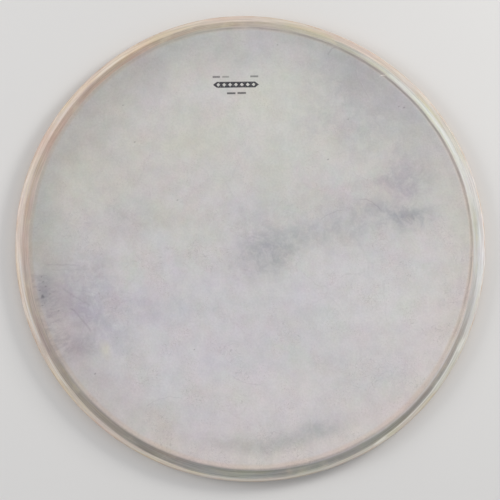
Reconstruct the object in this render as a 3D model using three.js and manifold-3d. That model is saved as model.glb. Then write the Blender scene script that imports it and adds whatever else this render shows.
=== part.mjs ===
// Calfskin tom-tom head, tucked on a bent-wood flesh hoop, for a 16 inch shell.
// Millimetres, +Z up. The origin is the centre of the face that the head lies on. The struck side is on top.
import * as THREE from "three";
import { mergeVertices } from "three/addons/utils/BufferGeometryUtils.js";
import Module from "manifold-3d";

// Driving dimensions
const SHELL_RADIUS = 203.2; // outside of the 16 inch shell that the head fits
const SHELL_CLEARANCE = 2.8; // between the shell and the skin inside the hoop
const SKIN = 0.4; // thickness of the calfskin
const GAP = 0.3; // between the dried skin and what it is wrapped round
const HOOP_WIDTH = 5.6; // of the bare wood, radially
const HOOP_HEIGHT = 9.5;
const CORNER = 1.5; // outer radius of the skin where it turns round the hoop
const COLLAR_RISE = 5.4; // from the top of the wrapped hoop to the crest of the skin
const COLLAR_SLOPE = THREE.MathUtils.degToRad(45);
const FIELD_DISH = 0.6; // how far the field lies below the crest
const FIELD_RADIUS = 190; // of the flat part of the field
const CREST_RADIUS = 200.4; // where the skin turned over the shell's bearing edge
const CREST_ROUND = 2.4; // radius of the skin's turn at the crest
const FOOT_ROUND = 1.2; // radius of the skin's turn from the hoop into the collar
const FLAP_END_GAP = 2.2; // from the tucked edge of the skin to the head's outside

// Sizes that follow
const INNER_RADIUS = SHELL_RADIUS + SHELL_CLEARANCE;
const WOOD_INNER = INNER_RADIUS + SKIN + GAP;
const WOOD_OUTER = WOOD_INNER + HOOP_WIDTH;
const OUTER_RADIUS = WOOD_OUTER + GAP + SKIN;
const WOOD_BOTTOM = SKIN + GAP;
const WOOD_TOP = WOOD_BOTTOM + HOOP_HEIGHT;
const FLAP_TOP = WOOD_TOP + GAP + SKIN;
const HOOP_TOP = FLAP_TOP + GAP + SKIN;
const CREST_HEIGHT = HOOP_TOP + COLLAR_RISE;
const FIELD_HEIGHT = CREST_HEIGHT - FIELD_DISH;

// The scarf joint of the hoop, and the wire brads through it
const SCARF_START = THREE.MathUtils.degToRad(38);
const SCARF_LENGTH = THREE.MathUtils.degToRad(26);
const SCARF_NOSE = 0.9; // blunt thickness of each tapered end
const BRADS = 4;
const BRAD_LENGTH = 4.5; // from the top of its head to its point
const BRAD_POINT = 1; // length of the pointed end
const BRAD_RADIUS = 0.5;
const BRAD_HEAD_RADIUS = 1.1;
const BRAD_HEAD_HEIGHT = 0.4;
const BRAD_STAGGER = 1.9; // up and down by turns from the middle of the hoop's height
const BRAD_SINK = 0.15; // of the head below the wood's surface

const TURN_STEPS = 80; // flats round the head
const CORNER_STEPS = 2; // flats on each small round
const CREST_STEPS = 4;
const SCARF_STEPS = 20; // straights along the sloping cut of the scarf
const BRAD_STEPS = 12; // flats round a brad
const OVERRUN = 1; // how far a cut runs out past the wood

// Old bent wood is never quite round. Each wave: [waves round the hoop, size, direction of a crest, degrees].
const OUT_OF_ROUND = [
  [2, 0.3, -25],
  [3, 0.28, 1],
  [4, 0.32, 16],
  [5, 0.27, 25],
  [7, 0.16, 2],
];
const ROUND_WITHIN = 120; // the skin is undisturbed inside this radius

const MATERIALS = {
  calfskin: new THREE.MeshStandardMaterial({ color: 0xcac4bd, roughness: 0.55, metalness: 0 }),
  maple: new THREE.MeshStandardMaterial({ color: 0xc79a66, roughness: 0.6, metalness: 0 }),
  wire: new THREE.MeshStandardMaterial({ color: 0x8d8a84, roughness: 0.4, metalness: 1 }),
};

const wasm = await Module();
wasm.setup();

function solidOf(geometry) {
  const bare = geometry.clone();
  bare.deleteAttribute("normal");
  bare.deleteAttribute("uv");
  const merged = mergeVertices(bare, 1e-4);
  return new wasm.Manifold(
    new wasm.Mesh({
      numProp: 3,
      vertProperties: merged.attributes.position.array,
      triVerts: new Uint32Array(merged.index.array),
    }),
  );
}

function geometryOf(solid) {
  const mesh = solid.getMesh();
  return new THREE.BufferGeometry()
    .setAttribute("position", new THREE.BufferAttribute(mesh.vertProperties, 3))
    .setIndex(new THREE.BufferAttribute(mesh.triVerts, 1));
}

// How far the rim stands out of a true circle in one direction.
function outOfRound(angle) {
  return OUT_OF_ROUND.reduce(
    (sum, [waves, size, crest]) =>
      sum + size * Math.cos(waves * (angle - THREE.MathUtils.degToRad(crest))),
    0,
  );
}

// Turns a profile of (radius, height) points about Z, then sets its rim out of round.
function turned(points) {
  const geometry = new THREE.LatheGeometry(points, TURN_STEPS).rotateX(Math.PI / 2);
  const position = geometry.attributes.position;
  for (let i = 0; i < position.count; i++) {
    const x = position.getX(i);
    const y = position.getY(i);
    const radius = Math.hypot(x, y);
    if (radius <= ROUND_WITHIN) continue;
    const share = (radius - ROUND_WITHIN) / (INNER_RADIUS - ROUND_WITHIN);
    const scale = 1 + (Math.min(1, share) * outOfRound(Math.atan2(y, x))) / radius;
    position.setXY(i, x * scale, y * scale);
  }
  return geometry;
}

// One face of the skin, from the middle of the field to the tucked edge. Depth 0 is the struck face and SKIN
// is the other one: every straight is moved in by the depth, and every round keeps its centre.
function skinFace(depth) {
  const path = new THREE.Path();
  const up = Math.PI / 2;
  const rimSlope = Math.atan(FIELD_DISH / (CREST_RADIUS - FIELD_RADIUS));
  const arc = (x, y, radius, from, to, steps) => {
    for (let i = 0; i <= steps; i++) {
      const angle = from + ((to - from) * i) / steps;
      path.lineTo(x + radius * Math.cos(angle), y + radius * Math.sin(angle));
    }
  };
  const rounds = CREST_ROUND + FOOT_ROUND;
  const collarRun = (COLLAR_RISE - rounds * (1 - Math.cos(COLLAR_SLOPE))) / Math.tan(COLLAR_SLOPE);
  const footRadius = CREST_RADIUS + rounds * Math.sin(COLLAR_SLOPE) + collarRun;
  const crestHeight = CREST_HEIGHT - CREST_ROUND;
  path.moveTo(0, FIELD_HEIGHT - depth);
  path.lineTo(FIELD_RADIUS, FIELD_HEIGHT - depth);
  arc(CREST_RADIUS, crestHeight, CREST_ROUND - depth, up + rimSlope, up - COLLAR_SLOPE, CREST_STEPS);
  arc(footRadius, HOOP_TOP + FOOT_ROUND, FOOT_ROUND + depth, -up - COLLAR_SLOPE, -up, CORNER_STEPS);
  const round = CORNER - depth;
  const outside = OUTER_RADIUS - CORNER;
  const inside = INNER_RADIUS + CORNER;
  arc(outside, HOOP_TOP - CORNER, round, up, 0, CORNER_STEPS);
  arc(outside, CORNER, round, 0, -up, CORNER_STEPS);
  arc(inside, CORNER, round, -up, -2 * up, CORNER_STEPS);
  arc(inside, FLAP_TOP - CORNER, round, 2 * up, up, CORNER_STEPS);
  path.lineTo(OUTER_RADIUS - FLAP_END_GAP, FLAP_TOP - depth);
  return path.getPoints(1);
}

function calfskin() {
  const struck = skinFace(0);
  const flesh = skinFace(SKIN);
  // Both faces end on the axis, so the outline runs from one middle to the other.
  const profile = [...flesh, ...struck.reverse()];
  return new THREE.Mesh(turned(profile), MATERIALS.calfskin);
}

// Rounded section of the hoop, closed on itself.
function hoopSection() {
  const round = CORNER - SKIN - GAP;
  const centres = [
    [WOOD_OUTER - round, WOOD_BOTTOM + round, -90],
    [WOOD_OUTER - round, WOOD_TOP - round, 0],
    [WOOD_INNER + round, WOOD_TOP - round, 90],
    [WOOD_INNER + round, WOOD_BOTTOM + round, 180],
  ];
  const points = centres.flatMap(([x, y, from]) =>
    Array.from({ length: CORNER_STEPS + 1 }, (_, i) => {
      const angle = THREE.MathUtils.degToRad(from + (90 * i) / CORNER_STEPS);
      return new THREE.Vector2(x + round * Math.cos(angle), y + round * Math.sin(angle));
    }),
  );
  return [...points, points[0].clone()];
}

// An upright slot of GAP width through the hoop, from one (angle, radius) to another.
function slot(fromAngle, fromRadius, toAngle, toRadius) {
  const radial = fromAngle === toAngle; // its width is then along the hoop, and otherwise across it
  const steps = radial ? 1 : SCARF_STEPS;
  const sides = [-GAP / 2, GAP / 2].map((aside) =>
    Array.from({ length: steps + 1 }, (_, i) => {
      const middle = THREE.MathUtils.lerp(fromAngle, toAngle, i / steps);
      const angle = middle + (radial ? aside / fromRadius : 0);
      const plain = THREE.MathUtils.lerp(fromRadius, toRadius, i / steps);
      const radius = plain + outOfRound(middle) + (radial ? 0 : aside);
      return new THREE.Vector2(radius * Math.cos(angle), radius * Math.sin(angle));
    }),
  );
  const outline = new THREE.Shape([...sides[0], ...sides[1].reverse()]);
  const cutter = new THREE.ExtrudeGeometry(outline, {
    depth: WOOD_TOP + 2 * OVERRUN,
    bevelEnabled: false,
    steps: 1,
  });
  return solidOf(cutter.translate(0, 0, -OVERRUN));
}

// A brad along Z with its head on top at 0. Grown makes it larger all round, for the hole that it sits in.
function bradShape(grown) {
  const shank = BRAD_RADIUS + grown;
  const head = BRAD_HEAD_RADIUS + grown;
  const neck = -BRAD_HEAD_HEIGHT - grown;
  const top = grown ? BRAD_SINK + OVERRUN : 0; // a hole runs out through the wood's surface
  const profile = [
    [0, -BRAD_LENGTH - grown],
    [shank, -BRAD_LENGTH + BRAD_POINT],
    [shank, neck],
    [head, neck],
    [head, top],
    [0, top],
  ].map(([x, y]) => new THREE.Vector2(x, y));
  return new THREE.LatheGeometry(profile, BRAD_STEPS).rotateX(Math.PI / 2);
}

// Where brad number i goes, and the turn that points its head outwards.
function bradPlace(i) {
  const angle = SCARF_START + (SCARF_LENGTH * (i + 1)) / (BRADS + 1);
  const radius = WOOD_OUTER * Math.cos(Math.PI / TURN_STEPS) - BRAD_SINK + outOfRound(angle);
  const height = (WOOD_BOTTOM + WOOD_TOP) / 2 + BRAD_STAGGER * (i % 2 ? 1 : -1);
  const outwards = new THREE.Vector3(Math.cos(angle), Math.sin(angle), 0);
  const turn = new THREE.Quaternion().setFromUnitVectors(new THREE.Vector3(0, 0, 1), outwards);
  const place = outwards.clone().multiplyScalar(radius).setZ(height);
  return { place, turn };
}

function fleshHoop() {
  const end = SCARF_START + SCARF_LENGTH;
  const innerNose = WOOD_INNER + SCARF_NOSE;
  const outerNose = WOOD_OUTER - SCARF_NOSE;
  const reach = GAP / 2 / WOOD_INNER; // the sloping slot runs into both radial ones
  const cuts = [
    slot(SCARF_START, WOOD_INNER - OVERRUN, SCARF_START, innerNose + GAP / 2),
    slot(SCARF_START - reach, innerNose, end + reach, outerNose),
    slot(end, outerNose - GAP / 2, end, WOOD_OUTER + OVERRUN),
  ];
  for (let i = 0; i < BRADS; i++) {
    const { place, turn } = bradPlace(i);
    const matrix = new THREE.Matrix4().compose(place, turn, new THREE.Vector3(1, 1, 1));
    cuts.push(solidOf(bradShape(GAP).applyMatrix4(matrix)));
  }
  const ring = solidOf(turned(hoopSection()));
  return new THREE.Mesh(geometryOf(cuts.reduce((left, cut) => left.subtract(cut), ring)), MATERIALS.maple);
}

function brad(i) {
  const mesh = new THREE.Mesh(bradShape(0), MATERIALS.wire.clone());
  const { place, turn } = bradPlace(i);
  mesh.position.copy(place);
  mesh.quaternion.copy(turn);
  return mesh;
}

function named(name, mesh) {
  mesh.name = name;
  return mesh;
}

const head = new THREE.Group();
head.add(named("calfskin", calfskin()));
head.add(named("flesh_hoop", fleshHoop()));
for (let i = 0; i < BRADS; i++) head.add(named(`scarf_brad_${i + 1}`, brad(i)));

// Centres the outline on the origin.
const box = new THREE.Box3().setFromObject(head, true);
const middle = box.getCenter(new THREE.Vector3());
head.children.forEach((mesh) => mesh.position.sub(new THREE.Vector3(middle.x, middle.y, 0)));

export default head;
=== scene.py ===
"""Looks of a calfskin tom-tom head on its flesh hoop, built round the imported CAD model.

Lengths in the tables are millimetres, angles degrees, colours sRGB 0 to 255. Blender's own units are metres.
"""

import math

import bpy
import numpy as np
from mathutils import Matrix, Vector


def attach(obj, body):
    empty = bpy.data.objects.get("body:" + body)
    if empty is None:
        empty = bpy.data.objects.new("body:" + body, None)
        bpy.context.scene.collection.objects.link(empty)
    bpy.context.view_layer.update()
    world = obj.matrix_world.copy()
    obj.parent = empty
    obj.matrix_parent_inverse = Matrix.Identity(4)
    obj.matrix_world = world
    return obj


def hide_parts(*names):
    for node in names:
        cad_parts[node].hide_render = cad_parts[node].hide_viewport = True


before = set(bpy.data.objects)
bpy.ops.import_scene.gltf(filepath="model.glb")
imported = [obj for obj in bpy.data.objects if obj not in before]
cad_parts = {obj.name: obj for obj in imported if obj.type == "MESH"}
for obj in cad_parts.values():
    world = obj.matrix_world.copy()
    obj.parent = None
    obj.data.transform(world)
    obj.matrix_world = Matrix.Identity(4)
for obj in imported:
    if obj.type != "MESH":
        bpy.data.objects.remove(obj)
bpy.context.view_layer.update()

MM = 0.001

# ---------------------------------------------------------------- sizes, the same as in the CAD model

INNER_RADIUS = 206.0
OUTER_RADIUS = 213.0
SKIN = 0.4
CORNER = 1.5
FLAP_TOP = 10.9
HOOP_TOP = 11.6
COLLAR_RISE = 5.4
COLLAR_SLOPE = math.radians(45)
CREST_RADIUS = 200.4
CREST_HEIGHT = HOOP_TOP + COLLAR_RISE
CREST_ROUND = 2.4
FOOT_ROUND = 1.2
FIELD_RADIUS = 190.0
FIELD_HEIGHT = CREST_HEIGHT - 0.6
FLAP_END_GAP = 2.2
CAD_STEPS = 80
OUT_OF_ROUND = [(2, 0.3, -25), (3, 0.28, 1), (4, 0.32, 16), (5, 0.27, 25), (7, 0.16, 2)]
ROUND_WITHIN = 120.0
SCARF_START, SCARF_END = 38.0, 64.0

# ---------------------------------------------------------------- sizes of the visual model alone

NOSE_WIDTH, NOSE_RISE = 1.3, 0.2  # the thin ends of the scarf, in degrees and millimetres
AROUND = 384  # steps of the skin's mesh round the head
SLOW_WAVES = 9  # long low waves laid over each other in the field
SLOW_WAVE_HEIGHT = 0.075
# Ridges round the collar: seed of the wandering, place past the collar's middle, height.
RIDGES = [(31, -1.5, 0.16), (32, 0.6, 0.2), (33, 2.4, 0.16)]
RIDGE_WIDTH = 0.55
COLLAR_FLARE, FLARE_DIRECTION, FLARE_REACH = 2.0, 268, 85  # low down the collar covers more of the hoop
EDGE_RAGGEDNESS = 0.35  # how far the tucked edge wanders
FLESH_RING_STEP = 2  # the flesh side keeps every second ring

# Frayed fibres: direction, height, length, and how far the tip leans to the side.
FRAYS = [
    (8.2, 9.6, 1.9, 0.7), (8.7, 9.0, 1.3, -0.5), (9.3, 10.0, 1.0, 0.3),
    (-1.5, 8.6, 0.9, 0.3), (17.4, 9.2, 0.8, -0.3),
]
FRAY_STEPS = 5
FRAY_RADIUS = 0.16


def out_of_round(angle):
    return sum(size * np.cos(n * (angle - math.radians(crest))) for n, size, crest in OUT_OF_ROUND)


def cad_shift():
    """How far the CAD model was moved to centre its outline."""
    angle = np.arange(CAD_STEPS) * 2 * math.pi / CAD_STEPS
    radius = OUTER_RADIUS + out_of_round(angle)
    x, y = radius * np.cos(angle), radius * np.sin(angle)
    return (x.max() + x.min()) / 2, (y.max() + y.min()) / 2


# ---------------------------------------------------------------- the skin's section

COARSE_RADIUS = 168  # inside this the field is flat enough for a coarse mesh
# How far apart the mesh's rings are on each straight stretch, and how many steps each bend takes.
SPACING = {
    "field": 5.25, "field_edge": 1.8, "rise": 0.6, "collar": 0.4, "hoop_top": 0.55,
    "outside": 0.95, "bottom": 0.8, "inside": 0.95, "flap": 0.8,
}
BEND_STEPS = {"crest": 9, "foot": 5, "top_corner": 6, "bottom_corner": 6, "inner_corner": 6, "tuck": 5}


def section():
    """The struck face from the centre to the tucked edge.

    Gives its points (radius, height), their outward normals, their distances along the skin, and the distance
    at which each stretch begins.
    """
    up = math.pi / 2
    points, normals, marks = [], [], {}
    length = 0.0

    def put(r, z, nr, nz):
        nonlocal length
        if points:
            step = math.hypot(r - points[-1][0], z - points[-1][1])
            if step < 1e-6:
                return
            length += step
        points.append((r, z))
        normals.append((nr, nz))

    def line(r, z, name):
        marks[name] = length
        r0, z0 = points[-1]
        nr, nz = z0 - z, r - r0
        size = math.hypot(nr, nz)
        nr, nz = nr / size, nz / size
        steps = max(1, round(size / SPACING[name]))
        for i in range(1, steps + 1):
            put(r0 + (r - r0) * i / steps, z0 + (z - z0) * i / steps, nr, nz)

    def arc(r, z, radius, start, end, name):
        marks[name] = length
        steps = BEND_STEPS[name]
        sign = 1 if end < start else -1
        for i in range(steps + 1):
            a = start + (end - start) * i / steps
            put(r + radius * math.cos(a), z + radius * math.sin(a), sign * math.cos(a), sign * math.sin(a))

    rim_slope = math.atan((CREST_HEIGHT - FIELD_HEIGHT) / (CREST_RADIUS - FIELD_RADIUS))
    rounds = CREST_ROUND + FOOT_ROUND
    run = (COLLAR_RISE - rounds * (1 - math.cos(COLLAR_SLOPE))) / math.tan(COLLAR_SLOPE)
    foot = CREST_RADIUS + rounds * math.sin(COLLAR_SLOPE) + run
    outside, inside = OUTER_RADIUS - CORNER, INNER_RADIUS + CORNER
    put(0, FIELD_HEIGHT, 0, 1)
    line(COARSE_RADIUS, FIELD_HEIGHT, "field")
    line(FIELD_RADIUS, FIELD_HEIGHT, "field_edge")
    crest_z = CREST_HEIGHT - CREST_ROUND
    start = up + rim_slope
    line(CREST_RADIUS + CREST_ROUND * math.cos(start), crest_z + CREST_ROUND * math.sin(start), "rise")
    arc(CREST_RADIUS, crest_z, CREST_ROUND, start, up - COLLAR_SLOPE, "crest")
    foot_angle = -up - COLLAR_SLOPE
    line(
        foot + FOOT_ROUND * math.cos(foot_angle),
        HOOP_TOP + FOOT_ROUND + FOOT_ROUND * math.sin(foot_angle),
        "collar",
    )
    arc(foot, HOOP_TOP + FOOT_ROUND, FOOT_ROUND, foot_angle, -up, "foot")
    line(outside, HOOP_TOP, "hoop_top")
    arc(outside, HOOP_TOP - CORNER, CORNER, up, 0, "top_corner")
    line(OUTER_RADIUS, CORNER, "outside")
    arc(outside, CORNER, CORNER, 0, -up, "bottom_corner")
    line(inside, 0, "bottom")
    arc(inside, CORNER, CORNER, -up, -2 * up, "inner_corner")
    line(INNER_RADIUS, FLAP_TOP - CORNER, "inside")
    arc(inside, FLAP_TOP - CORNER, CORNER, 2 * up, up, "tuck")
    line(OUTER_RADIUS - FLAP_END_GAP, FLAP_TOP, "flap")
    marks["end"] = length
    points, normals = np.array(points), np.array(normals)
    steps = np.hypot(*np.diff(points, axis=0).T)
    along = np.concatenate([[0], np.cumsum(steps)])
    return points, normals, along, marks


POINTS, NORMALS, ALONG, MARKS = section()


def ripple(angle, lowest, highest, seed, fall=0.6):
    """An irregular wave round the head, about -1 to 1, of the given numbers of waves."""
    rng = np.random.default_rng(seed)
    total, power = np.zeros_like(angle), 0.0
    for n in range(lowest, highest + 1):
        size = (lowest / n) ** fall * rng.uniform(0.5, 1)
        total += size * np.cos(n * angle + rng.uniform(0, 2 * math.pi))
        power += size * size / 2
    return total / math.sqrt(power) / 1.8


def bell(x, middle, width):
    return np.exp(-(((x - middle) / width) ** 2))


def fade(x, start, end):
    t = np.clip((x - start) / (end - start), 0, 1)
    return t * t * (3 - 2 * t)


def towards(angle, degrees, width):
    """1 in one direction round the head, down to 0 at width degrees away."""
    off = np.degrees(np.abs((angle - math.radians(degrees) + math.pi) % (2 * math.pi) - math.pi))
    return 1 - fade(off, 0, width)


def relief(along, angle):
    """How far the struck face stands out of its plain section, and how far it is shifted outwards."""
    m = MARKS
    out = np.zeros_like(along)
    x, y = along * np.cos(angle), along * np.sin(angle)
    rng = np.random.default_rng(11)
    for _ in range(SLOW_WAVES):
        turn, wave = rng.uniform(0, 2 * math.pi), rng.uniform(70, 190)
        phase = rng.uniform(0, 2 * math.pi)
        across = x * math.cos(turn) + y * math.sin(turn)
        out += SLOW_WAVE_HEIGHT * np.sin(across * 2 * math.pi / wave + phase)
    out *= 1 - fade(along, 150, 196)

    # The skin dips just inside the crest, where it was stretched over the bearing edge.
    groove = 0.06 + 0.24 * towards(angle, 35, 80) + 0.03 * ripple(angle, 5, 30, 21)
    out -= groove * bell(along, m["crest"] - 1.5 + 0.3 * ripple(angle, 3, 14, 22), 1.0)
    out += 0.1 * (1 + ripple(angle, 9, 60, 23)) * bell(along, m["crest"] + 0.6, 1.3)

    # Ridges that run round the collar, where it dried against the shell and the counterhoop.
    middle = (m["collar"] + m["foot"]) / 2
    for seed, place, size in RIDGES:
        share = np.clip(0.45 + 0.9 * ripple(angle, 2, 9, seed), 0, 1.3)
        drift = place + 0.7 * ripple(angle, 2, 8, seed + 10)
        out += size * share * bell(along, middle + drift, RIDGE_WIDTH)
    collar = bell(along, middle, 3.2)
    out += 0.07 * ripple(angle, 30, 110, 41, 0.2) * collar
    out += 0.1 * ripple(angle, 12, 60, 42, 0.3) * bell(along, m["hoop_top"], 1.8)

    # Where the skin was gathered round the hoop.
    end = 1 - fade(along, m["inside"] + 5, m["tuck"])
    side = fade(along, m["hoop_top"], m["top_corner"]) * (1 - fade(along, m["bottom_corner"], m["bottom"]))
    out += 0.09 * (0.6 + ripple(angle, 6, 44, 51, 0.5)) * side
    gathers = np.maximum(0, ripple(angle, 34, 90, 52, 0.1)) ** 1.5
    out -= 0.13 * np.minimum(gathers, 1.9) * fade(along, m["bottom_corner"] - 2, m["bottom"] + 1) * end

    # The ends of the hoop's scarf stand out a little under the skin.
    outer_nose = bell(np.degrees(angle), SCARF_END, NOSE_WIDTH)
    outer_nose *= fade(along, m["hoop_top"] + 1, m["top_corner"] + 1.5)
    out += NOSE_RISE * outer_nose * (1 - fade(along, m["bottom_corner"], m["bottom"]))
    inner_nose = bell(np.degrees(angle), SCARF_START, NOSE_WIDTH)
    inner_nose *= fade(along, m["inner_corner"], m["inside"])
    out += NOSE_RISE * inner_nose * end

    outwards = 0.22 * ripple(angle, 6, 40, 61) * bell(along, m["crest"] + 1.5, 5)
    outwards -= 0.5 * np.cos(2 * angle) * bell(along, m["crest"] + 1, 7)
    flare = towards(angle, FLARE_DIRECTION, FLARE_REACH)
    outwards += COLLAR_FLARE * flare * bell(along, m["foot"] + 0.5, 2.2)
    # A short stretch of the crest, where the skin slipped, steps inwards.
    slipped = fade(np.degrees(angle), 30, 47) * (1 - fade(np.degrees(angle), 51.4, 52.4))
    outwards -= 0.8 * slipped * bell(along, m["crest"] + 0.5, 3.5)
    outwards += 0.5 * towards(angle, 22, 26) * bell(along, m["crest"] + 0.5, 4.5)
    return out, outwards


def face(rings, depth):
    """Points of one face of the skin, ring by ring. The centre is a ring of one point."""
    angle = np.arange(AROUND) * 2 * math.pi / AROUND
    angle = (angle + math.pi) % (2 * math.pi) - math.pi
    shift_x, shift_y = cad_shift()
    result = []
    for i in rings:
        if i == 0:
            lift = relief(np.zeros(1), np.zeros(1))[0][0]
            result.append((np.array([[-shift_x, -shift_y, FIELD_HEIGHT + lift - depth]]), np.zeros((1, 3))))
            continue
        along = np.full(AROUND, ALONG[i])
        out, outwards = relief(along, angle)
        r = POINTS[i][0] + NORMALS[i][0] * (out - depth) + outwards
        z = POINTS[i][1] + NORMALS[i][1] * (out - depth)
        if i == len(ALONG) - 1:
            r = r + EDGE_RAGGEDNESS * ripple(angle, 12, 90, 71, 0.3)
        share = np.clip((r - ROUND_WITHIN) / (INNER_RADIUS - ROUND_WITHIN), 0, 1)
        r = r + share * out_of_round(angle)
        points = np.stack([r * np.cos(angle) - shift_x, r * np.sin(angle) - shift_y, z], 1)
        hide = np.stack([along * np.cos(angle), along * np.sin(angle), np.full(AROUND, depth)], 1)
        result.append((points, hide))
    return result


def calfskin():
    """The hide as one closed skin. Each point keeps its place on the flat hide, which the materials read."""
    last = len(ALONG) - 1
    struck = face(range(last + 1), 0.0)
    inner_rings = [i for i in range(last + 1) if i % FLESH_RING_STEP == 0 or i == last]
    flesh = face(inner_rings, SKIN)
    points, hides, faces, slots = [], [], [], []
    starts = []
    for rings in (struck, flesh):
        starts.append([])
        for ring, hide in rings:
            starts[-1].append(sum(len(p) for p in points))
            points.append(ring)
            hides.append(hide)

    def band(a, b, count_a, flip, slot):
        for k in range(AROUND):
            n = (k + 1) % AROUND
            quad = (a, b + k, b + n) if count_a == 1 else (a + k, b + k, b + n, a + n)
            faces.append(quad[::-1] if flip else quad)
            slots.append(slot)

    for j in range(len(struck) - 1):
        band(starts[0][j], starts[0][j + 1], len(struck[j][0]), False, 0)
    for j in range(len(flesh) - 1):
        band(starts[1][j], starts[1][j + 1], len(flesh[j][0]), True, 1)
    band(starts[0][-1], starts[1][-1], AROUND, False, 1)

    mesh = bpy.data.meshes.new("calfskin_hide")
    mesh.from_pydata((np.concatenate(points) * MM).tolist(), [], faces)
    attribute = mesh.attributes.new("hide", "FLOAT_VECTOR", "POINT")
    attribute.data.foreach_set("vector", np.concatenate(hides).astype(np.float32).ravel())
    mesh.materials.append(hide_material("calfskin_hair_side"))
    mesh.materials.append(flesh_material("calfskin_flesh_side"))
    mesh.polygons.foreach_set("material_index", slots)
    mesh.polygons.foreach_set("use_smooth", [True] * len(faces))
    mesh.validate()
    mesh.update()
    skin = bpy.data.objects.new("calfskin_hide", mesh)
    bpy.context.scene.collection.objects.link(skin)
    return skin


def frays():
    """A few fibres that stand off the hoop's edge, where the hide has frayed."""
    points, faces = [], []
    shift_x, shift_y = cad_shift()
    for degrees, height, length, bend in FRAYS:
        base = len(points)
        angle = math.radians(degrees)
        root = OUTER_RADIUS + out_of_round(angle) - 0.3
        for i in range(FRAY_STEPS + 1):
            share = i / FRAY_STEPS
            reach = root + length * share
            turn = angle + bend * share * share / OUTER_RADIUS
            middle = np.array([reach * math.cos(turn), reach * math.sin(turn), height + 0.3 * bend * share])
            thick = FRAY_RADIUS * (1 - 0.8 * share)
            for k in range(4):
                side = k * math.pi / 2
                across, rise = math.cos(side), math.sin(side)
                off = np.array([-math.sin(turn) * across, math.cos(turn) * across, rise])
                points.append(middle + thick * off - np.array([shift_x, shift_y, 0]))
        for i in range(FRAY_STEPS):
            for k in range(4):
                a, b = base + i * 4 + k, base + i * 4 + (k + 1) % 4
                faces.append((a, b, b + 4, a + 4))
        faces.append((base + 3, base + 2, base + 1, base))
        last = base + FRAY_STEPS * 4
        faces.append((last, last + 1, last + 2, last + 3))
    mesh = bpy.data.meshes.new("hide_frays")
    mesh.from_pydata((np.array(points) * MM).tolist(), [], faces)
    mesh.materials.append(fray_material("raw_hide_fibre"))
    mesh.update()
    fibres = bpy.data.objects.new("hide_frays", mesh)
    bpy.context.scene.collection.objects.link(fibres)
    return fibres


# ---------------------------------------------------------------- building materials


def linear(colour):
    return tuple(c / 3294.6 if c <= 10.31475 else ((c / 255 + 0.055) / 1.055) ** 2.4 for c in colour) + (1.0,)


class Number:
    """A number that varies over a surface: arithmetic on it adds nodes to its material."""

    def __init__(self, tree, socket):
        self.tree, self.socket = tree, socket

    def _math(self, operation, *others):
        node = self.tree.nodes.new("ShaderNodeMath")
        node.operation = operation
        for slot, value in zip(node.inputs, (self, *others)):
            if isinstance(value, Number):
                self.tree.links.new(value.socket, slot)
            else:
                slot.default_value = value
        return Number(self.tree, node.outputs[0])

    def __add__(self, other):
        return self._math("ADD", other)

    def __mul__(self, other):
        return self._math("MULTIPLY", other)

    def __sub__(self, other):
        return self._math("SUBTRACT", other)

    def __truediv__(self, other):
        return self._math("DIVIDE", other)

    __radd__, __rmul__ = __add__, __mul__

    def __rsub__(self, other):
        return self * -1 + other

    def power(self, other):
        return self._math("POWER", other)

    def most(self, other):
        return self._math("MAXIMUM", other)

    def size(self):
        return self._math("ABSOLUTE")

    def direction(self, x):
        """The angle of the point at x across and this number up, in radians from +X."""
        return self._math("ARCTAN2", x)

    def folded(self, period):
        """The distance from the nearest multiple of period."""
        return self._math("PINGPONG", period / 2)

    def ramp(self, start, end, low=0.0, high=1.0):
        """Smoothly from low, where the number is start, to high, where it is end."""
        node = self.tree.nodes.new("ShaderNodeMapRange")
        node.interpolation_type = "SMOOTHSTEP"
        node.clamp = False
        self.tree.links.new(self.socket, node.inputs["Value"])
        flip = start > end
        node.inputs["From Min"].default_value = end if flip else start
        node.inputs["From Max"].default_value = start if flip else end
        node.inputs["To Min"].default_value = high if flip else low
        node.inputs["To Max"].default_value = low if flip else high
        return Number(self.tree, node.outputs["Result"])


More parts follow.
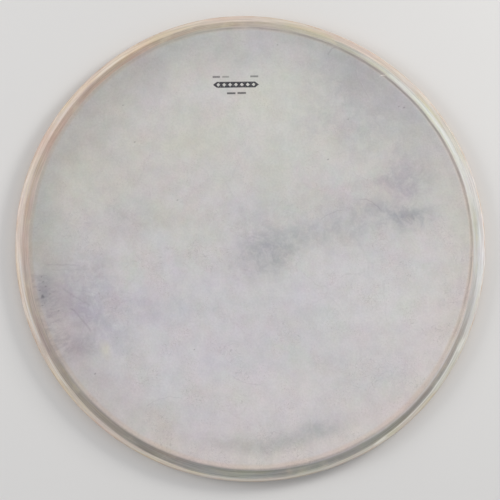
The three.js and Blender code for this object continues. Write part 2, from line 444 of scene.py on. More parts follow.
class Finish:
    """A material under construction."""

    def __init__(self, name):
        self.material = bpy.data.materials.new(name)
        self.material.use_nodes = True
        self.tree = self.material.node_tree
        self.shader = self.tree.nodes["Principled BSDF"]

    def add(self, kind, **settings):
        node = self.tree.nodes.new(kind)
        for key, value in settings.items():
            setattr(node, key, value)
        return node

    def link(self, value, slot):
        if isinstance(value, Number):
            value = value.socket
        if isinstance(value, bpy.types.NodeSocket):
            self.tree.links.new(value, slot)
        else:
            slot.default_value = value

    def attribute(self, name):
        node = self.add("ShaderNodeAttribute")
        node.attribute_name = name
        return node.outputs["Vector"]

    def place(self):
        return self.add("ShaderNodeTexCoord").outputs["Object"]

    def parts(self, vector):
        node = self.add("ShaderNodeSeparateXYZ")
        self.tree.links.new(vector, node.inputs[0])
        return [Number(self.tree, out) for out in node.outputs]

    def vector(self, x, y, z=0.0):
        node = self.add("ShaderNodeCombineXYZ")
        for value, slot in zip((x, y, z), node.inputs):
            self.link(value, slot)
        return node.outputs[0]

    def noise(self, vector, scale, detail=2.0, roughness=0.5, distortion=0.0, colour=False, plane=True):
        node = self.add("ShaderNodeTexNoise", noise_dimensions="2D" if plane else "3D")
        self.tree.links.new(vector, node.inputs["Vector"])
        node.inputs["Scale"].default_value = scale
        node.inputs["Detail"].default_value = detail
        node.inputs["Roughness"].default_value = roughness
        node.inputs["Distortion"].default_value = distortion
        return node.outputs["Color"] if colour else Number(self.tree, node.outputs["Fac"])

    def cells(self, vector, scale, feature="F1", randomness=1.0):
        node = self.add("ShaderNodeTexVoronoi", feature=feature, voronoi_dimensions="2D")
        self.tree.links.new(vector, node.inputs["Vector"])
        node.inputs["Scale"].default_value = scale
        node.inputs["Randomness"].default_value = randomness
        return Number(self.tree, node.outputs["Distance"])

    def warp(self, vector, scale, reach, detail=2.0):
        """The vector moved about by up to half of reach, over patches of 1 / scale."""
        x, y, z = self.parts(vector)
        split = self.add("ShaderNodeSeparateColor")
        self.link(self.noise(vector, scale, detail, colour=True), split.inputs[0])
        r, g, _ = [Number(self.tree, out) for out in split.outputs]
        return self.vector(x + (r - 0.5) * reach, y + (g - 0.5) * reach, z)

    def mix(self, a, b, share, blend="MIX"):
        """Colour a going to colour b as share goes from 0 to 1. Colours are sRGB triples or sockets."""
        node = self.add("ShaderNodeMix", data_type="RGBA", blend_type=blend, clamp_factor=True)
        self.link(share, node.inputs[0])
        for colour, slot in ((a, node.inputs[6]), (b, node.inputs[7])):
            self.link(linear(colour) if isinstance(colour, tuple) else colour, slot)
        return node.outputs[2]

    def round_tones(self, share, tones):
        """Colours at even steps of a number from 0 to 1, blended between."""
        node = self.add("ShaderNodeValToRGB")
        self.link(share, node.inputs[0])
        ramp = node.color_ramp
        last = len(tones) - 1
        for i, tone in enumerate(tones):
            if 0 < i < last:
                stop = ramp.elements.new(i / last)
            else:
                stop = ramp.elements[0 if i == 0 else -1]
            stop.position = i / last
            stop.color = linear(tone)
        return node.outputs[0]

    def scaled(self, colour, number):
        """A colour made lighter or darker by a number round 1."""
        node = self.add("ShaderNodeHueSaturation")
        self.link(colour, node.inputs["Color"])
        self.link(number, node.inputs["Value"])
        return node.outputs["Color"]

    def bump(self, height):
        """Relief from a height in millimetres."""
        node = self.add("ShaderNodeBump")
        node.inputs["Strength"].default_value = 1.0
        node.inputs["Distance"].default_value = MM
        self.link(height, node.inputs["Height"])
        self.link(node.outputs["Normal"], self.shader.inputs["Normal"])

    def local(self, vector, middle, size, turn=0.0):
        """The vector as seen from a place on the hide: moved, turned by degrees and divided by size."""
        node = self.add("ShaderNodeMapping", vector_type="TEXTURE")
        self.tree.links.new(vector, node.inputs["Vector"])
        node.inputs["Location"].default_value = (*middle, 0.0)
        node.inputs["Rotation"].default_value = (0.0, 0.0, math.radians(turn))
        node.inputs["Scale"].default_value = (*size, 1.0)
        return node.outputs[0]

    def blot(self, vector, middle, size, turn=0.0, soft=1.0):
        """1 in the middle of an ellipse, down to 0 at its edge."""
        ellipse = self.local(vector, middle, size, turn)
        node = self.add("ShaderNodeTexGradient", gradient_type="SPHERICAL")
        self.link(ellipse, node.inputs["Vector"])
        return Number(self.tree, node.outputs["Fac"]).ramp(0.0, soft)

    def most_of(self, shares):
        """The largest of several numbers."""
        most = None
        for share in shares:
            most = share if most is None else most.most(share)
        return most

    def scratch(self, vector, start, end, bow, width):
        """1 along a fine bowed line, and 0 beside it."""
        middle = ((start[0] + end[0]) / 2, (start[1] + end[1]) / 2)
        dx, dy = end[0] - start[0], end[1] - start[1]
        half = math.hypot(dx, dy) / 2
        u, v, _ = self.parts(self.local(vector, middle, (half, 1.0), math.degrees(math.atan2(dy, dx))))
        return (v - (1 - u * u) * bow).size().ramp(width * 2, width * 0.4) * u.size().ramp(1.0, 0.7)


# ---------------------------------------------------------------- the hair side of the calfskin

# Soft stains on the struck face: middle, half sizes, turn, strength, colour.
STAINS = [
    ((12, -8), (52, 30), 22, 0.56, (148, 150, 156)),
    ((34, 4), (60, 20), 20, 0.30, (158, 160, 168)),
    ((20, 24), (90, 36), 6, 0.28, (166, 166, 166)),
    ((100, 20), (84, 34), 14, 0.44, (160, 158, 162)),
    ((60, 150), (50, 40), -10, 0.22, (166, 166, 166)),
    ((100, 100), (40, 30), 0, 0.26, (164, 160, 164)),
    ((66, 112), (46, 34), 0, 0.30, (166, 166, 170)),
    ((-104, -56), (40, 26), 0, 0.24, (160, 156, 164)),
    ((-146, -20), (40, 30), 0, 0.34, (164, 160, 160)),
    ((140, 60), (56, 26), 4, 0.46, (148, 146, 152)),
    ((139, 29), (46, 17), -4, 0.56, (142, 143, 150)),
    ((118, 118), (80, 60), -42, 0.36, (164, 162, 165)),
    ((92, 146), (66, 34), -30, 0.30, (162, 162, 164)),
    ((150, 74), (34, 50), 30, 0.36, (156, 150, 156)),
    ((-150, -58), (54, 56), 30, 0.50, (158, 150, 162)),
    ((-118, -88), (44, 16), -50, 0.22, (150, 146, 160)),
    ((-62, -62), (64, 16), 8, 0.18, (166, 168, 178)),
    ((-110, 18), (60, 26), 0, 0.32, (172, 170, 164)),
    ((-20, 172), (80, 22), 0, 0.22, (166, 166, 166)),
    ((10, -184), (90, 14), 4, 0.20, (168, 162, 160)),
]

# Paler or warmer patches.
WASHES = [
    ((-130, 70), (90, 110), 20, 0.55, (190, 185, 176)),
    ((0, 100), (130, 70), 0, 0.35, (196, 192, 184)),
    ((120, -70), (110, 80), -20, 0.50, (206, 203, 201)),
    ((20, -140), (130, 50), 0, 0.50, (211, 203, 204)),
    ((20, 112), (80, 44), 10, 0.35, (203, 203, 201)),
    ((-60, -100), (80, 50), 0, 0.50, (204, 200, 205)),
]

# Small marks that keep their shape: middle, half sizes, turn, strength, colour.
SMUDGES = [
    ((122.5, 157.4), (4.2, 1.1), 20, 0.85, (226, 226, 220)),
    ((67.3, 187.8), (4.5, 0.8), -22, 0.6, (212, 212, 208)),
    ((-131.5, -97), (7, 14), 24, 0.5, (206, 202, 178)),
    ((-187, -47), (8, 19), 4, 0.50, (124, 124, 131)),
    ((-184, -48), (17, 30), 8, 0.42, (144, 140, 148)),
    ((-187.7, -51.3), (2.8, 2.3), 20, 0.8, (88, 86, 92)),
    ((-190.3, -44.4), (2.0, 1.6), 20, 0.65, (100, 98, 104)),
    ((-185.2, -56), (1.7, 1.4), 0, 0.5, (112, 108, 114)),
    ((-166, -48), (26, 44), 24, 0.40, (164, 150, 166)),
    ((-151.8, -94.2), (24, 19), 20, 0.36, (140, 132, 143)),
    ((-148, -66), (30, 22), -40, 0.22, (152, 144, 160)),
    ((54, -169), (50, 15), 17, 0.50, (154, 157, 158)),
    ((15, -182), (34, 13), 10, 0.42, (158, 160, 160)),
    ((-16, -180), (34, 10), -2, 0.34, (166, 162, 158)),
]

# Small dark flecks in the hide: middle, half size.
FLECKS = [
    ((-107, 92), 0.9), ((-118, 126), 0.8), ((-68, 39), 0.8), ((69, 78), 1.0), ((139.8, 127.6), 1.2),
    ((23, 185), 0.8), ((135, 128.5), 0.9), ((-173, -62), 0.9), ((88, 116), 0.8), ((-52, -96), 0.8),
    ((-140, -118), 1.0), ((-188.9, -31.6), 0.9), ((-187.2, -36), 1.1), ((-184.8, -40.2), 1.0),
    ((-187.5, -57.5), 0.9), ((-181, -47), 0.8),
]

# Fine scratches: from, to, bow (sideways in the middle), half width, strength.
SCRATCHES = [
    ((-164, -58), (-143, -82), 1.2, 0.7, 0.27),
    ((-173, -39), (-142, -58), -1.5, 0.6, 0.19),
    ((-188, -21), (-154, -21), 0.6, 0.55, 0.22),
    ((-184, -25), (-146, -24), -0.8, 0.4, 0.14),
    ((-158, -44), (-134, -48), 1.0, 0.4, 0.16),
    ((60, 20), (84, 32), 2.5, 0.35, 0.20),
    ((96, 42), (118, 30), 3.5, 0.4, 0.30),
    ((-96, -148), (-60, -140), 5.0, 0.35, 0.16),
    ((-20, -118), (12, -126), -4.0, 0.35, 0.14),
    ((70, 176), (78, 184), 1.5, 0.5, 0.35),
]

# Tones of the collar, the field's edge and the hoop's top, by direction: every 30 degrees from -180. They are
# partly the hide's own colour and partly painted light and shade. The collar is painted whitish at the right
# and darker in shade at the bottom. The hoop's top is painted darker in shade at the bottom. The field's edge
# is painted darker from the upper right round to the left, and lighter from the bottom to the lower right.
COLLAR_LIT_AND_SHADED_TONES = [
    (188, 172, 162), (166, 155, 149), (158, 152, 145), (168, 168, 162), (149, 147, 141), (166, 162, 158),
    (192, 192, 188), (196, 198, 194), (178, 178, 170), (176, 166, 154), (176, 158, 144), (184, 166, 152),
    (188, 172, 162),
]
FIELD_EDGE_LIT_AND_SHADED_TONES = [
    (171, 168, 163), (180, 174, 173), (196, 190, 186), (205, 198, 194), (205, 197, 195), (205, 197, 195),
    (196, 190, 184), (180, 177, 176), (163, 162, 163), (180, 178, 177), (168, 166, 163), (174, 172, 167),
    (171, 169, 165),
]
HOOP_LIT_AND_SHADED_TONES = [
    (220, 208, 197), (212, 198, 186), (204, 195, 184), (196, 189, 178), (192, 188, 178), (203, 200, 192),
    (221, 222, 221), (208, 202, 192), (208, 198, 186), (206, 194, 182), (212, 196, 182), (216, 200, 187),
    (220, 208, 197),
]

# Marks on the rim: the whitish and cream ones are painted highlights, the yellow ones are stains, the dark
# ones low on the collar from 212 to 280 degrees are painted shade, and the rest are darker marks. Columns:
# direction and reach to each side in degrees, place past the hoop's top edge, width, strength, colour.
RIM_MARKS_HIGHLIGHTS_AND_SHADE = [
    (319, 16, -0.1, 0.9, 0.62, (234, 232, 226)),
    (303, 0.9, 1.3, 1.6, 0.50, (234, 232, 226)),
    (334.5, 0.9, 1.6, 2.0, 0.55, (234, 232, 226)),
    (313, 6, 1.7, 0.9, 0.30, (168, 156, 146)),
    (20, 10, -0.2, 0.8, 0.35, (176, 178, 173)),
    (194.5, 10.5, 1.7, 1.0, 0.60, (232, 230, 228)),
    (214, 4.5, 1.5, 0.9, 0.55, (230, 228, 224)),
    (128.5, 4.5, 1.2, 1.1, 0.45, (238, 232, 224)),
    (147, 5, 1.0, 1.2, 0.30, (234, 226, 222)),
    (166, 3.5, 1.4, 1.0, 0.40, (232, 220, 190)),
    (75, 6, 0.3, 4.2, 0.40, (190, 184, 140)),
    (36, 3.5, 0.6, 2.0, 0.30, (206, 204, 160)),
    (243.5, 2.5, -2.3, 2.2, 0.40, (124, 114, 100)),
    (212, 4, -3.2, 2.6, 0.35, (150, 136, 130)),
    (280, 7, -3.1, 2.6, 0.22, (132, 140, 122)),
]

# The plain dashes by the ink mark: middle, half length, how much of the ink is left.
DASHES = [
    ((-17.8, 7.4), 3.6, 0.70), ((-9.2, 7.4), 3.4, 0.45), ((17.0, 7.6), 4.0, 0.60),
    ((-4.6, -8.0), 4.2, 0.85), ((5.0, -7.9), 4.2, 0.85),
]


def ink_mark(f, flat):
    """A worn ink mark with no letters: lozenges in a long six-sided frame, and plain dashes by it."""
    u, v, _ = f.parts(f.local(flat, (-15.1, 146.5), (1.0, 1.0), 2.0))
    across, down = u.size(), v.size()
    bar = (across - 21.0 + down * 1.3).most(down - 2.7).ramp(0.35, -0.2)
    lozenge = (u.folded(5.4) + down * 1.05).ramp(2.0, 1.5) * across.ramp(17.8, 17.2)
    mark = bar * (1 - lozenge)
    for middle, half, strength in DASHES:
        dash = (u - middle[0]).size().ramp(half, half - 0.6) * (v - middle[1]).size().ramp(1.15, 0.6)
        mark = mark.most(dash * strength)
    return mark


def turned(degrees):
    """A direction round the head as a share of the turn that starts at -180 degrees."""
    return 0.5 + degrees / 360


def hide_material(name):
    """The hair side: mottled and stained in the field, creamy and stretched over the collar and the hoop."""
    f = Finish(name)
    hide = f.attribute("hide")
    x, y, _ = f.parts(hide)
    along = (x * x + y * y).power(0.5)
    flat = f.vector(x, y, 0.0)
    cosine, sine = x / along.most(1.0), y / along.most(1.0)
    m = MARKS

    # Coordinates for what runs round the rim: slow along it, quick across it.
    rim_run = f.vector(cosine * 12, sine * 12, along * 0.9)
    rim_cross = f.vector(cosine * 210, sine * 210, along * 0.35)

    warped = f.warp(f.warp(flat, 0.028, 26, 3), 0.12, 6, 2)
    _, wy, _ = f.parts(warped)

    # The hide's own tone: warm above, a little lilac below, clouded.
    cloud = f.noise(flat, 0.013, 3, 0.55)
    colour = f.mix((195, 193, 187), (198, 195, 197), (wy.ramp(70, -50) * 0.75 + cloud.ramp(0.35, 0.65) * 0.5))
    tint = f.noise(warped, 0.03, 3, 0.6)
    colour = f.mix(colour, (198, 188, 188), tint.ramp(0.52, 0.72) * 0.4)
    tint = f.noise(f.warp(flat, 0.05, 20), 0.024, 3, 0.6)
    colour = f.mix(colour, (186, 194, 184), tint.ramp(0.52, 0.72) * 0.35)

    for middle, size, turn, strength, tone in WASHES:
        colour = f.mix(colour, tone, f.blot(warped, middle, size, turn) * strength)
    grime = f.noise(warped, 0.11, 5, 0.65).ramp(0.32, 0.66, 0.55, 1.25)
    for middle, size, turn, strength, tone in STAINS:
        colour = f.mix(colour, tone, f.blot(warped, middle, size, turn) * grime * strength)

    around = y.direction(x) / (2 * math.pi) + 0.5
    # Painted light and shade on the field's rim, where it rises to the crest: darker from the upper right
    # round to the left, and lighter below.
    field_edge_shading_share = (along + (cloud - 0.5) * 40).ramp(150, 194) * 0.85
    colour = f.mix(colour, f.round_tones(around, FIELD_EDGE_LIT_AND_SHADED_TONES), field_edge_shading_share)
    ruffled = f.warp(flat, 0.2, 2.5)
    smudged = f.warp(f.warp(flat, 0.06, 7, 3), 0.5, 2)
    for middle, size, turn, strength, tone in SMUDGES:
        share = f.blot(smudged, middle, size, turn) * grime.ramp(0.5, 1.3, 0.75, 1.1) * strength
        colour = f.mix(colour, tone, share)

    # Mottling at every smaller scale, down to the follicles.
    mottle = f.noise(flat, 0.07, 5, 0.62)
    colour = f.scaled(colour, mottle.ramp(0.3, 0.7, 0.965, 1.035))
    grain = f.noise(flat, 0.5, 4, 0.7)
    colour = f.scaled(colour, grain.ramp(0.3, 0.7, 0.955, 1.03))

    # Veins: faint branching lines, only here and there.
    branch = f.cells(f.warp(f.warp(flat, 0.02, 40, 2), 0.1, 5, 2), 0.021, "DISTANCE_TO_EDGE")
    vein_patch = f.noise(flat, 0.011, 1).ramp(0.46, 0.62)
    vein = branch.ramp(0.035, 0.008) * vein_patch
    colour = f.mix(colour, (164, 158, 160), vein * 0.09)

    # Fibres: short curled hairlines, more of them in the lower half.
    curl = f.warp(flat, 0.045, 60, 3)
    fibre_edge = f.cells(curl, 0.16, "DISTANCE_TO_EDGE")
    fibre_patch = f.noise(flat, 0.03, 2).ramp(0.5, 0.64) * wy.ramp(90, -20, 0.3, 1.0)
    fibre = fibre_edge.ramp(0.05, 0.01) * fibre_patch
    colour = f.mix(colour, (154, 150, 150), fibre * 0.4)

    follicle = f.cells(f.warp(flat, 0.3, 1.5), 0.42)
    follicle_patch = f.noise(flat, 0.045, 3, 0.6).ramp(0.48, 0.7)
    speck = follicle.ramp(0.2, 0.08) * follicle_patch
    colour = f.mix(colour, (150, 146, 142), speck * 0.35)

    flecks = f.most_of(
        f.blot(flat, middle, (radius * 1.6, radius), 30, 0.8)
        for middle, radius in FLECKS
    )
    colour = f.mix(colour, (126, 122, 122), flecks * 0.6)
    scratched = f.most_of(
        f.scratch(ruffled, start, end, bow, width) * strength
        for start, end, bow, width, strength in SCRATCHES
    )
    colour = f.mix(colour, (132, 126, 134), scratched)

    wear = f.noise(flat, 1.1, 4, 0.7)
    ink = ink_mark(f, flat) * wear.ramp(0.27, 0.42)
    colour = f.mix(colour, (28, 28, 38), ink * 0.96)

    # Painted shade: grey in the dip inside the crest, strongest towards the upper right.
    dip_shade = along.ramp(m["crest"] - 2.4, m["crest"] - 0.6) * along.ramp(m["crest"] + 1.1, m["crest"] + 0.1)
    dip_shade = dip_shade * (cosine * 0.71 + sine * 0.71).ramp(-0.2, 0.95, 0.12, 1.0)
    dip_shade = dip_shade * f.noise(rim_run, 1.2, 3, plane=False).ramp(0.3, 0.7, 0.15, 0.62)
    colour = f.mix(colour, (132, 130, 128), dip_shade)

    # Soiled creases that run in from the crest at the lower left.
    inwards = f.vector(cosine * 55, sine * 55, along * 0.11)
    creased = f.noise(inwards, 1.0, 4, 0.65, plane=False).ramp(0.42, 0.66)
    creased = creased * (cosine * -0.94 - sine * 0.342).ramp(0.965, 0.99) * along.ramp(172, 190)
    colour = f.mix(colour, (120, 116, 126), creased * 0.30)

    warm = (along - m["crest"]).size().ramp(4.0, 0.8)
    colour = f.mix(colour, (255, 244, 234), warm * 0.75, "MULTIPLY")

    # The collar: pink brown at the upper left, with painted light and shade by direction. It is painted
    # whitish where it faces the light on the right, and a grey green painted shade below.
    collar_tone_and_shading = f.round_tones(around, COLLAR_LIT_AND_SHADED_TONES)
    lines = f.noise(rim_run, 1.0, 4, 0.6, plane=False)
    # Stripes along the collar's ridges, which also feed the bump. In colour they are partly the skin's own
    # streaks and partly painted highlights and shade.
    ridge_streak_and_highlight = f.noise(f.vector(cosine * 5, sine * 5, along * 1.1), 1.0, 3, 0.55, plane=False)
    collar_tone_and_shading = f.scaled(collar_tone_and_shading, lines.ramp(0.3, 0.7, 0.95, 1.05))
    collar_tone_and_shading = f.scaled(collar_tone_and_shading, ridge_streak_and_highlight.ramp(0.36, 0.64, 0.86, 1.12))
    wander = f.noise(f.vector(cosine * 3.2, sine * 3.2, along * 0.12), 1.0, 3, 0.5, plane=False)
    blush, yellowing = wander.ramp(0.5, 0.68), wander.ramp(0.5, 0.32)
    patches = f.noise(f.vector(cosine * 9, sine * 9, along * 0.05), 1.0, 4, 0.6, plane=False)
    collar_tone_and_shading = f.mix(collar_tone_and_shading, (206, 196, 176), patches.ramp(0.5, 0.72) * 0.4)
    # At the lower right, and a little at the lower left, the collar's tone with its painted shade starts
    # further out from the crest.
    lower_right = (cosine * 0.669 - sine * 0.743).ramp(0.6, 0.97)
    lower_left = (cosine * -0.5 - sine * 0.866).ramp(0.7, 1.0)
    on_collar = (along - lower_right * 3.8 - lower_left * 1.0).ramp(m["crest"] - 0.5, m["crest"] + 2.0)
    collar_tone_and_shading = f.mix(collar_tone_and_shading, (255, 238, 234), blush * 0.5, "MULTIPLY")
    collar_tone_and_shading = f.mix(collar_tone_and_shading, (255, 250, 226), yellowing * 0.6, "MULTIPLY")
    colour = f.mix(colour, collar_tone_and_shading, on_collar)
    # A paler band on the collar at the upper right, where it faces the key light. It is strongest from 34 to
    # 50 degrees, fades out towards 6 and 68 degrees, and has a sharp edge near 52 degrees.
    worn = around.ramp(turned(52.2), turned(50.4)) * 0.55
    worn = worn + around.ramp(turned(68), turned(56)) * 0.45
    worn = worn * around.ramp(turned(6), turned(34))
    worn = worn * (along - m["crest"] - 4.6).size().ramp(2.6, 0.8)
    colour = f.mix(colour, (220, 226, 222), worn * 0.34)

    # The hoop's wood shows warm through the tight skin, most at its outer edge. The hoop's top also carries
    # painted shade by direction, darker at the bottom.
    top_tone_and_shading = f.round_tones(around, HOOP_LIT_AND_SHADED_TONES)
    top_tone_and_shading = f.scaled(top_tone_and_shading, lines.ramp(0.3, 0.7, 0.96, 1.04))
    top_tone_and_shading = f.scaled(top_tone_and_shading, ridge_streak_and_highlight.ramp(0.36, 0.64, 0.90, 1.09))
    lowest = (cosine * 0.087 - sine * 0.996).ramp(0.6, 1.0)
    # Below, and a little at the top, the collar's tone reaches further out over the hoop's top. Below, this
    # lays the collar's painted shade over the hoop, as the shadow the collar casts there.
    inset = along - (sine - cosine * 0.4).ramp(-0.5, -1.0) * 1.4
    inset = inset - (cosine * 0.052 - sine * 0.999).ramp(0.9, 0.995) * 2.0
    inset = inset - (sine * 0.966 - cosine * 0.259).ramp(0.82, 0.97) * 0.6
    on_top = inset.ramp(m["foot"] - 0.1, m["hoop_top"] + 0.7)
    top_tone_and_shading = f.mix(top_tone_and_shading, (255, 240, 236), blush * 0.5, "MULTIPLY")
    top_tone_and_shading = f.mix(top_tone_and_shading, (255, 250, 228), yellowing * 0.6, "MULTIPLY")
    colour = f.mix(colour, top_tone_and_shading, on_top)
    lap_grain = f.noise(rim_run, 2.2, 4, 0.65, plane=False).ramp(0.35, 0.65)
    lap_tone = f.mix((198, 172, 148), (188, 158, 130), lap_grain)
    lap_wear = f.noise(rim_cross, 0.25, 3, plane=False).ramp(0.5, 0.75)
    lap_tone = f.mix(lap_tone, (214, 198, 176), lap_wear * 0.6)
    edge_start = f.noise(rim_run, 1.6, 3, plane=False).ramp(0.3, 0.7, -1.0, 1.0)
    on_lap = (along + edge_start).ramp(m["top_corner"] - 0.2, m["top_corner"] + 2.6)
    colour = f.mix(colour, lap_tone, on_lap * (0.85 - lowest * 0.35))
    soiled = f.vector(cosine * 14, sine * 14, along * 0.12)
    soiled = f.noise(soiled, 1.0, 5, 0.65, plane=False).ramp(0.52, 0.75)
    colour = f.mix(colour, (150, 122, 96), soiled * along.ramp(m["outside"] - 1, m["outside"] + 3) * 0.5)

    # Rim marks: painted highlights, painted shade and stains, as listed in the table.
    broken = lines.ramp(0.3, 0.7, 0.6, 1.15)
    for direction, reach, place, width, strength, tone in RIM_MARKS_HIGHLIGHTS_AND_SHADE:
        turn = math.radians(direction)
        facing = cosine * math.cos(turn) + sine * math.sin(turn)
        near = facing.ramp(math.cos(math.radians(reach + 1.5)), math.cos(math.radians(reach - 1.5)))
        mark = (inset - m["hoop_top"] - place).size().ramp(width, width * 0.25) * near
        colour = f.mix(colour, tone, mark * strength * broken)

    # Every patch of the hide is a touch warmer, cooler, pinker or greener than the next.
    tinge = f.noise(flat, 0.022, 6, 0.74, colour=True)
    colour = f.mix(colour, tinge, 0.09, "OVERLAY")

    f.link(colour, f.shader.inputs["Base Color"])
    rough = f.noise(flat, 0.09, 4, 0.6).ramp(0.3, 0.7, 0.46, 0.58) + (grain - 0.5) * 0.12
    rough = rough - on_collar * 0.05 + ink * 0.1
    f.link(rough, f.shader.inputs["Roughness"])
    f.shader.inputs["IOR"].default_value = 1.46

    height = (grain - 0.5) * 0.05 + (f.noise(flat, 1.7, 3, 0.6) - 0.5) * 0.02
    height = height - speck * 0.02 + vein * 0.05 + fibre * 0.02 + (mottle - 0.5) * 0.12
    creases = f.noise(rim_run, 2.4, 4, 0.65, plane=False) - 0.5
    height = height + creases * on_collar * 0.12 + (ridge_streak_and_highlight - 0.5) * on_collar * 0.35
    gather = f.noise(rim_cross, 0.5, 3, 0.6, plane=False) - 0.5
    height = height + gather * along.ramp(m["outside"], m["bottom"]) * 0.22
    f.bump(height)
    return f.material


def flesh_material(name):
    """The flesh side, seen from under the head: duller, yellower and more fibrous."""
    f = Finish(name)
    hide = f.attribute("hide")
    x, y, _ = f.parts(hide)
    along = (x * x + y * y).power(0.5)
    flat = f.vector(x, y, 0.0)
    warped = f.warp(f.warp(flat, 0.03, 22, 3), 0.14, 6, 2)
    colour = f.mix((206, 198, 180), (192, 182, 164), f.noise(warped, 0.02, 4, 0.6).ramp(0.35, 0.68))
    colour = f.mix(colour, (214, 204, 190), f.noise(flat, 0.04, 4, 0.6).ramp(0.5, 0.75) * 0.6)
    for middle, size, turn, strength, tone in STAINS:
        colour = f.mix(colour, (158, 146, 132), f.blot(warped, middle, size, turn) * strength * 0.5)
    nap = f.noise(f.warp(flat, 0.08, 18, 2), 0.5, 5, 0.7)
    colour = f.scaled(colour, nap.ramp(0.3, 0.7, 0.94, 1.05))
    wander = f.warp(f.warp(flat, 0.014, 80, 4), 0.06, 16, 4)
    thick = f.noise(flat, 0.02, 2).ramp(0.3, 0.7, 0.004, 0.015)
    trunk = (f.cells(wander, 0.014, "DISTANCE_TO_EDGE") / thick).ramp(1.0, 0.2)
    trunk = trunk * f.noise(flat, 0.012, 2).ramp(0.44, 0.6)
    twig = f.cells(f.warp(wander, 0.05, 14, 3), 0.04, "DISTANCE_TO_EDGE").ramp(0.03, 0.006)
    twig = twig * f.noise(flat, 0.021, 2).ramp(0.5, 0.64)
    vein = trunk.most(twig * 0.5)
    colour = f.mix(colour, (166, 142, 126), vein * 0.22)
    flay = f.noise(f.vector(x * 0.35, y * 1.6, 0.0), 0.12, 5, 0.65)
    colour = f.scaled(colour, flay.ramp(0.3, 0.7, 0.965, 1.03))
    colour = f.mix(colour, (188, 164, 132), along.ramp(MARKS["crest"] - 8, MARKS["foot"]) * 0.5)
    f.link(colour, f.shader.inputs["Base Color"])
    f.link(nap.ramp(0.3, 0.7, 0.62, 0.78), f.shader.inputs["Roughness"])
    f.shader.inputs["IOR"].default_value = 1.45
    f.bump((nap - 0.5) * 0.16 + vein * 0.12 + (flay - 0.5) * 0.1)
    return f.material


# ---------------------------------------------------------------- the wood and the wire


def wood_material(name):
    """Steam-bent maple: grain that runs round the hoop, flecks, and a darker line of glue at the scarf."""
    f = Finish(name)
    x, y, z = f.parts(f.place())
    radius = (x * x + y * y).power(0.5)
    cosine, sine = x / radius, y / radius
    grain = f.noise(f.vector(cosine * 5, sine * 5, z * 700), 1.0, 4, 0.6, 0.4, plane=False)
    rings = f.noise(f.vector(cosine * 3, sine * 3, radius * 900 + z * 260), 1.0, 3, 0.55, 0.8, plane=False)
    colour = f.mix((206, 168, 122), (176, 134, 90), rings.ramp(0.38, 0.62))
    colour = f.scaled(colour, grain.ramp(0.3, 0.7, 0.9, 1.06))
    fleck = f.noise(f.vector(cosine * 90, sine * 90, z * 1500), 1.0, 2, plane=False).ramp(0.62, 0.72)
    colour = f.mix(colour, (150, 108, 72), fleck * 0.5)
    f.link(colour, f.shader.inputs["Base Color"])
    f.link(grain.ramp(0.3, 0.7, 0.5, 0.68), f.shader.inputs["Roughness"])
    f.shader.inputs["IOR"].default_value = 1.5
    f.bump((grain - 0.5) * 0.12 + (rings - 0.5) * 0.08)
    return f.material


def wire_material(name):
    """Dull steel wire with a little rust."""
    f = Finish(name)
    place = f.place()
    marks = f.noise(place, 2600, 4, 0.6, plane=False)
    rust = f.noise(place, 900, 4, 0.65, plane=False).ramp(0.5, 0.64)
    colour = f.mix((150, 148, 144), (112, 108, 102), marks.ramp(0.35, 0.65))
    colour = f.mix(colour, (124, 74, 44), rust * 0.8)
    f.link(colour, f.shader.inputs["Base Color"])
    f.link(rust.ramp(0.0, 1.0, 0.95, 0.2), f.shader.inputs["Metallic"])
    f.link(marks.ramp(0.3, 0.7, 0.3, 0.5) + rust * 0.3, f.shader.inputs["Roughness"])
    f.bump((marks - 0.5) * 0.03 + rust * 0.03)
    return f.material


def fray_material(name):
    """Dry pale hide fibre."""
    f = Finish(name)
    tone = f.noise(f.place(), 1500, 3, 0.6, plane=False)
    f.link(f.mix((226, 214, 196), (196, 176, 150), tone.ramp(0.35, 0.65)), f.shader.inputs["Base Color"])
    f.link(tone.ramp(0.3, 0.7, 0.6, 0.75), f.shader.inputs["Roughness"])
    return f.material


def repaint(node, material):
    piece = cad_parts[node]
    if not piece.material_slots:
        piece.data.materials.append(material)
    for slot in piece.material_slots:
        slot.material = material


# ---------------------------------------------------------------- stage, light and camera


# Lights: name, azimuth counted from +X towards +Y, elevation, distance and size in metres, power in watts,
# colour.
LIGHTS = [
    ("key", 30, 31, 1.7, 0.6, 15.0, (255, 252, 248)),
    ("fill_left", 172, 32, 1.8, 0.8, 10.0, (255, 252, 250)),
    ("top", 85, 55, 2.0, 1.0, 2.0, (255, 255, 255)),
]
SKY, SKY_STRENGTH = (238, 240, 244), 0.62

# The camera's lean from straight above and the way it leans, its distance and target in metres, and its lens.
CAMERA_LEAN, CAMERA_AZIMUTH, CAMERA_DISTANCE = 8.5, 246.5, 1.4
CAMERA_TARGET = (-0.0021, -0.0051, 0.009)
CAMERA_SENSOR, CAMERA_LENS = 36.0, 111.15
CAMERA_NEAR, CAMERA_FAR = 0.05, 20

FLOOR_REACH = 3.0  # metres, from the middle to each side
FLOOR_DROP = 0.0002  # metres, so that the floor and the hoop's underside don't share a plane


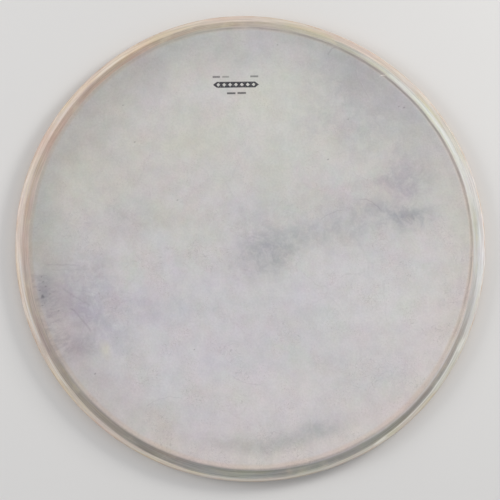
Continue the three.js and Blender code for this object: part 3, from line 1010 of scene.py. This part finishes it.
def floor():
    """A plain pale floor. Seen from under, it lets the underside of the head show."""
    mesh = bpy.data.meshes.new("floor")
    reach = FLOOR_REACH
    corners = [(-reach, -reach, 0), (reach, -reach, 0), (reach, reach, 0), (-reach, reach, 0)]
    mesh.from_pydata(corners, [], [(0, 1, 2, 3)])
    plane = bpy.data.objects.new("floor", mesh)
    plane.location.z = -FLOOR_DROP
    bpy.context.scene.collection.objects.link(plane)
    f = Finish("pale_floor")
    tone = f.noise(f.place(), 3.0, 3, 0.5)
    f.link(f.mix((214, 213, 211), (218, 217, 215), tone), f.shader.inputs["Base Color"])
    f.shader.inputs["Roughness"].default_value = 0.85
    clear = f.add("ShaderNodeBsdfTransparent")
    geometry = f.add("ShaderNodeNewGeometry")
    choice = f.add("ShaderNodeMixShader")
    f.link(geometry.outputs["Backfacing"], choice.inputs[0])
    f.link(f.shader.outputs[0], choice.inputs[1])
    f.link(clear.outputs[0], choice.inputs[2])
    f.link(choice.outputs[0], f.tree.nodes["Material Output"].inputs["Surface"])
    mesh.materials.append(f.material)


def area_light(name, azimuth, elevation, distance, size, power, colour):
    """A square soft light that looks at the middle of the head."""
    a, e = math.radians(azimuth), math.radians(elevation)
    back = Vector((math.cos(a) * math.cos(e), math.sin(a) * math.cos(e), math.sin(e)))
    data = bpy.data.lights.new(name, "AREA")
    data.size = size
    data.energy = power
    data.color = linear(colour)[:3]
    light = bpy.data.objects.new(name, data)
    light.location = back * distance
    light.rotation_mode = "QUATERNION"
    light.rotation_quaternion = back.to_track_quat("Z", "Y")
    bpy.context.scene.collection.objects.link(light)


def lights():
    for light in LIGHTS:
        area_light(*light)
    world = bpy.data.worlds.new("studio")
    world.use_nodes = True
    background = world.node_tree.nodes["Background"]
    background.inputs["Color"].default_value = linear(SKY)
    background.inputs["Strength"].default_value = SKY_STRENGTH
    bpy.context.scene.world = world
    bpy.context.scene.view_settings.view_transform = "Standard"


def camera():
    """Nearly straight above the head, leaning a little towards its lower left."""
    lean, azimuth = math.radians(CAMERA_LEAN), math.radians(CAMERA_AZIMUTH)
    back = Vector((
        math.sin(lean) * math.cos(azimuth),
        math.sin(lean) * math.sin(azimuth),
        math.cos(lean),
    ))
    right = Vector((0, 1, 0)).cross(back).normalized()
    up = back.cross(right)
    data = bpy.data.cameras.new("camera")
    data.sensor_width = CAMERA_SENSOR
    data.lens = CAMERA_LENS
    data.clip_start, data.clip_end = CAMERA_NEAR, CAMERA_FAR
    cam = bpy.data.objects.new("camera", data)
    turn = Matrix((right, up, back)).transposed().to_4x4()
    cam.matrix_world = Matrix.Translation(Vector(CAMERA_TARGET) + back * CAMERA_DISTANCE) @ turn
    bpy.context.scene.collection.objects.link(cam)
    bpy.context.scene.camera = cam


camera()
floor()
lights()

skin = calfskin()
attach(skin, "root")
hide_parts("calfskin")
hide_radius = MARKS["end"] * MM
2 * hide_radius
2 * hide_radius
math.pi * hide_radius**2

fibres = frays()
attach(fibres, "root")

repaint("flesh_hoop", wood_material("bent_maple"))
wire = wire_material("brad_wire")
for number in range(1, 5):
    repaint(f"scarf_brad_{number}", wire)
